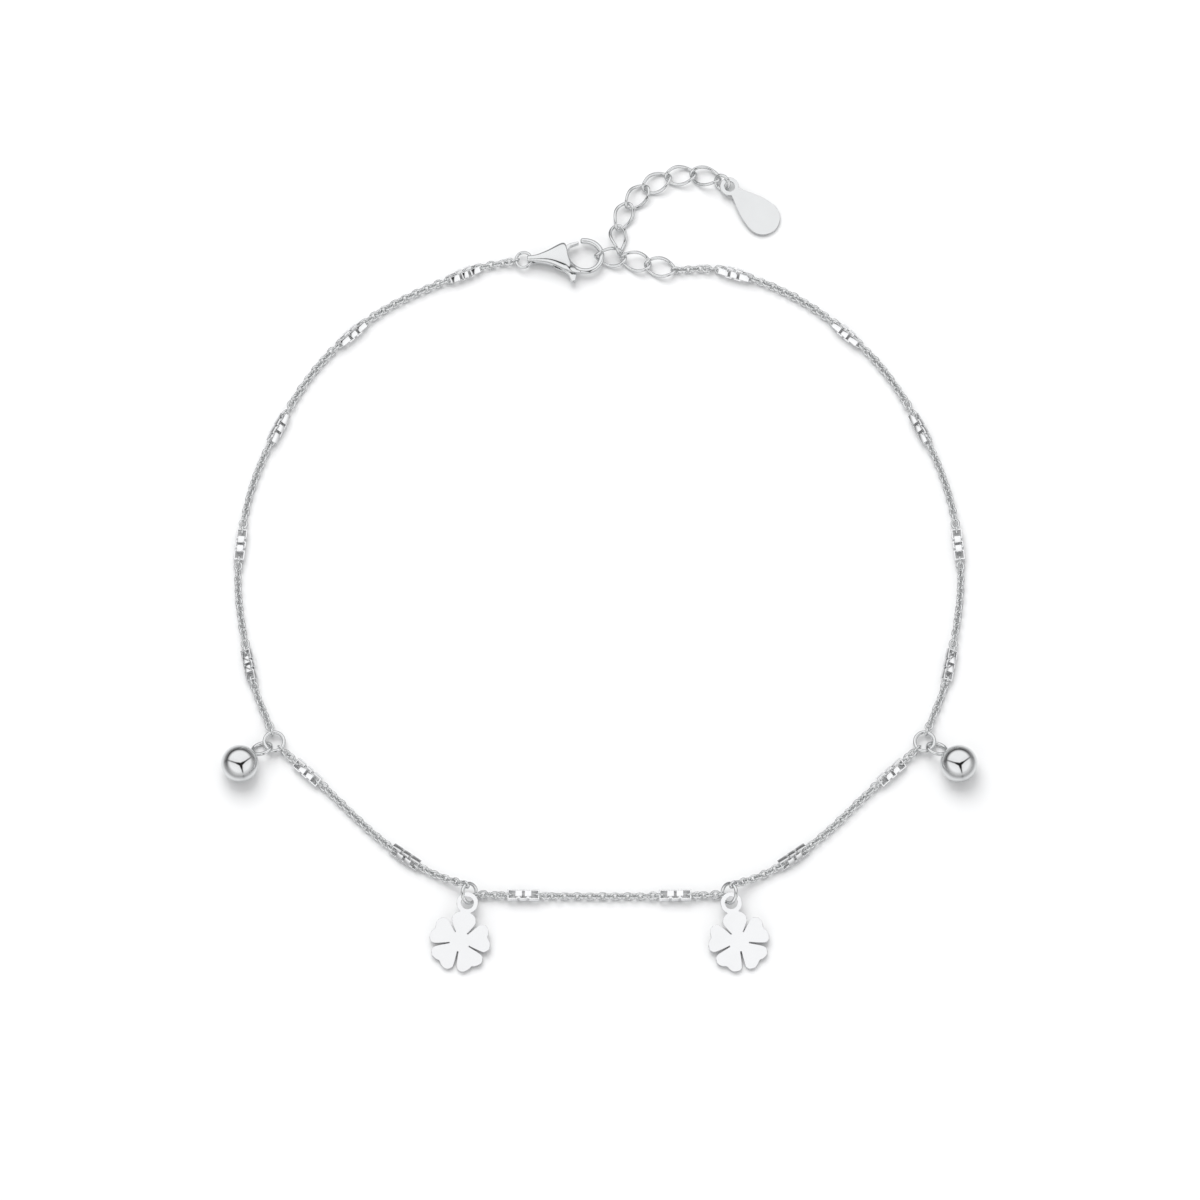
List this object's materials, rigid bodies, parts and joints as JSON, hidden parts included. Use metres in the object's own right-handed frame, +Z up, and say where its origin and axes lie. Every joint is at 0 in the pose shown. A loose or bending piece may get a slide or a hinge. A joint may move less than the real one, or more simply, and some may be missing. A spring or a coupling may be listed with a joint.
{
  "type": "ankle bracelet",
  "caption": "Fine cable chain anklet with stiff box bars, ball and five-petal flower drops, trigger clasp and an extension chain with a plain tag.",
  "frame": {"origin": "middle of the space the anklet lies in, on the surface it lies on", "axes": "+Z up off the surface, +Y towards the clasp, +X to the right seen from above with the clasp at the top"},
  "size_m": [0.0808, 0.0894, 0.004],
  "materials": {
    "silver": "polished sterling silver",
    "chain_silver": "polished sterling silver, fine links"
  },
  "bodies": {
    "bracelet": {"run_left_1": "chain_silver", "run_left_2": "chain_silver", "run_left_3": "chain_silver", "run_left_4": "chain_silver", "run_left_5": "chain_silver", "run_left_6": "chain_silver", "run_left_7": "chain_silver", "run_left_8": "chain_silver", "run_left_9": "chain_silver", "run_left_10": "chain_silver", "run_right_1": "chain_silver", "run_right_2": "chain_silver", "run_right_3": "chain_silver", "run_right_4": "chain_silver", "run_right_5": "chain_silver", "run_right_6": "chain_silver", "run_right_7": "chain_silver", "run_right_8": "chain_silver", "run_right_9": "chain_silver", "run_right_10": "chain_silver", "run_front": "chain_silver", "bar_left_1": "silver", "bar_left_2": "silver", "bar_left_3": "silver", "bar_left_4": "silver", "bar_left_5": "silver", "bar_left_6": "silver", "bar_left_7": "silver", "bar_left_8": "silver", "bar_right_1": "silver", "bar_right_2": "silver", "bar_right_3": "silver", "bar_right_4": "silver", "bar_right_5": "silver", "bar_right_6": "silver", "bar_right_7": "silver", "bar_right_8": "silver", "ball_left": "silver", "ball_ring_left": "silver", "flower_ring_left": "silver", "flower_left": "silver", "ball_right": "silver", "ball_ring_right": "silver", "flower_ring_right": "silver", "flower_right": "silver", "clasp_body": "silver", "clasp_ring": "silver", "tag_ring": "silver", "tag": "silver", "extension_link_1": "silver", "extension_link_2": "silver", "extension_link_3": "silver", "extension_link_4": "silver", "extension_link_5": "silver", "extension_link_6": "silver", "extension_link_7": "silver", "extension_link_8": "silver", "extension_link_9": "silver"},
    "lever": {"clasp_lever": "silver"}
  },
  "joints": [
    {"name": "lever_hinge", "type": "hinge", "parent": "bracelet", "child": "lever", "pos_m": [-0.0042, 0.03404, 0.001], "axis": [0, 0, -1], "range_deg": [0, 25], "stiffness_Nm_per_rad": 0.01}
  ]
}
